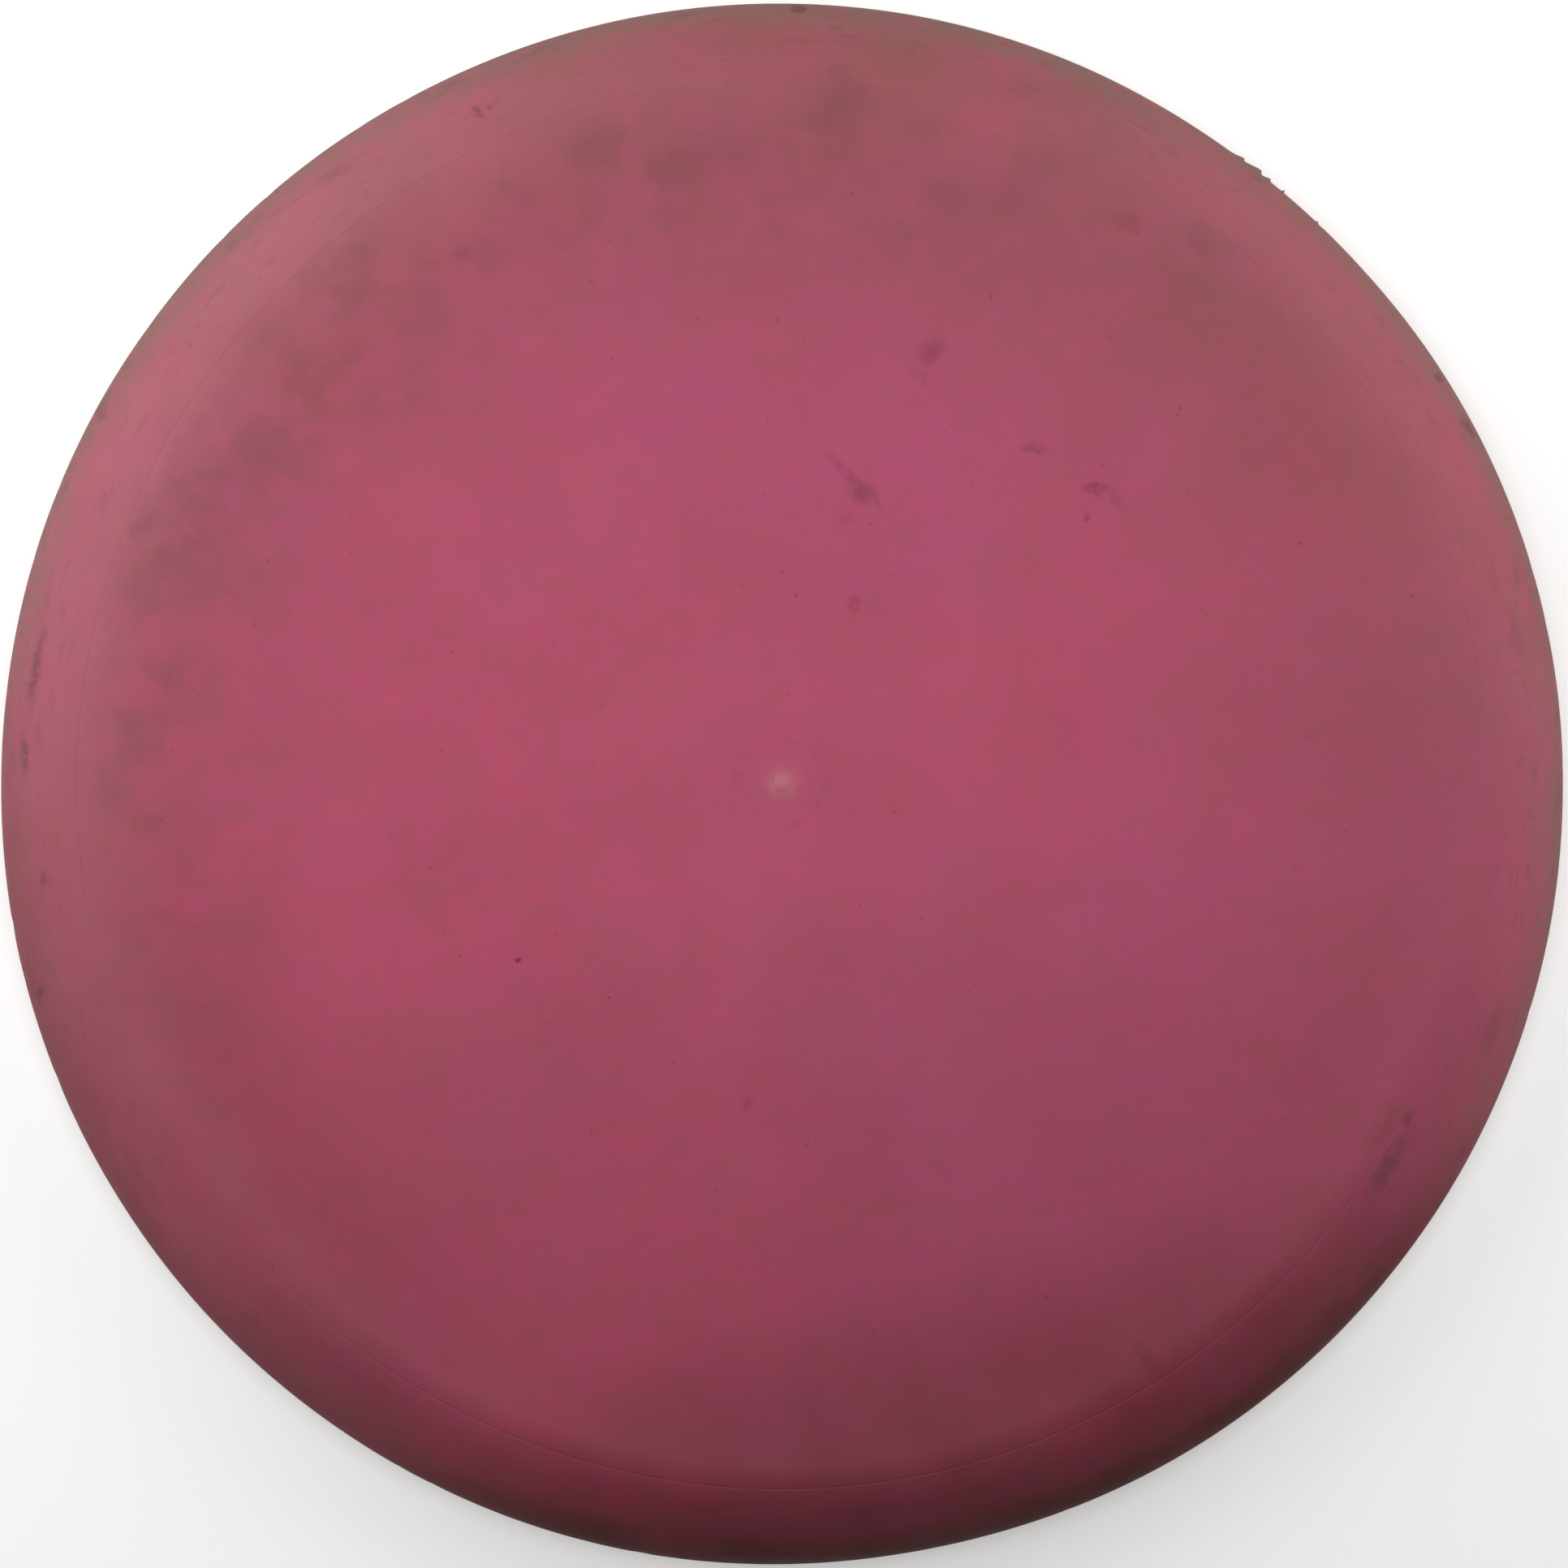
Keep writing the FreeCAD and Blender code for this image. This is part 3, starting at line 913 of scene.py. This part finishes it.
# %% Lamps
# Name, bearing and elevation in degrees, distance and width in metres, and power in watts.
LAMPS = [
    ("above", 0, 90, 0.50, 0.30, 0.71),
    ("top_right", 45, 30, 0.35, 0.30, 0.46),
    ("top_left", 135, 30, 0.35, 0.30, 0.53),
    ("left", 180, 30, 0.35, 0.30, 0.32),
    ("right", 0, 14, 0.35, 0.24, 0.24),
]

for name, bearing, elevation, distance, width, power in LAMPS:
    lamp_data = bpy.data.lights.new(name, "AREA")
    lamp_data.shape = "DISK"
    lamp_data.size = width
    lamp_data.energy = power
    lamp = bpy.data.objects.new(name, lamp_data)
    bpy.context.scene.collection.objects.link(lamp)
    turn = Matrix.Rotation(math.radians(bearing), 3, "Z")
    rise = math.radians(elevation)
    way = turn @ Vector((math.cos(rise), 0.0, math.sin(rise)))
    lamp.location = way * distance
    lamp.rotation_euler = way.to_track_quat("Z", "Y").to_euler()
    lamp.visible_camera = False
    print(name, [round(value, 3) for value in lamp.location], power, "W")

# %% World
AIR_GLOW = 0.6

world = bpy.data.worlds.new("pale_room")
bpy.context.scene.world = world
world.use_nodes = True
tree = world.node_tree
seen_directly = add(tree, "ShaderNodeLightPath", {}).outputs["Is Camera Ray"]
air = tree.nodes["Background"]
air.inputs["Color"].default_value = (1.0, 1.0, 0.99, 1.0)
feed(tree, air.inputs["Strength"], maths(tree, "MULTIPLY", seen_directly, AIR_GLOW))

# %% [markdown]
# ## The camera
# It looks straight down at the crown, from a stand over the table. From 0.6 m above the nose
# the widest circle that it sees isn't quite the disc's widest one, because the view lines lean
# outwards and touch the round nose a little above its middle. The lens is worked out from that
# circle, which nearly fills the frame.

# %% Camera
CAMERA_HEIGHT = 600 * MM
FILLED = 0.9971

seen_radius = nose.x + NOSE_RADIUS / math.cos(math.atan(DISC_RADIUS / CAMERA_HEIGHT))
camera_data = bpy.data.cameras.new("stand_camera")
camera_data.sensor_width = 36.0
camera_data.lens = camera_data.sensor_width * CAMERA_HEIGHT * FILLED / (2 * seen_radius)
camera = bpy.data.objects.new("stand_camera", camera_data)
camera.location = (0.32 * MM, 0.11 * MM, NOSE_RADIUS + CAMERA_HEIGHT)
bpy.context.scene.collection.objects.link(camera)
bpy.context.scene.camera = camera
bpy.context.scene.view_settings.view_transform = "Standard"
print(f"lens {camera_data.lens:.1f} mm")
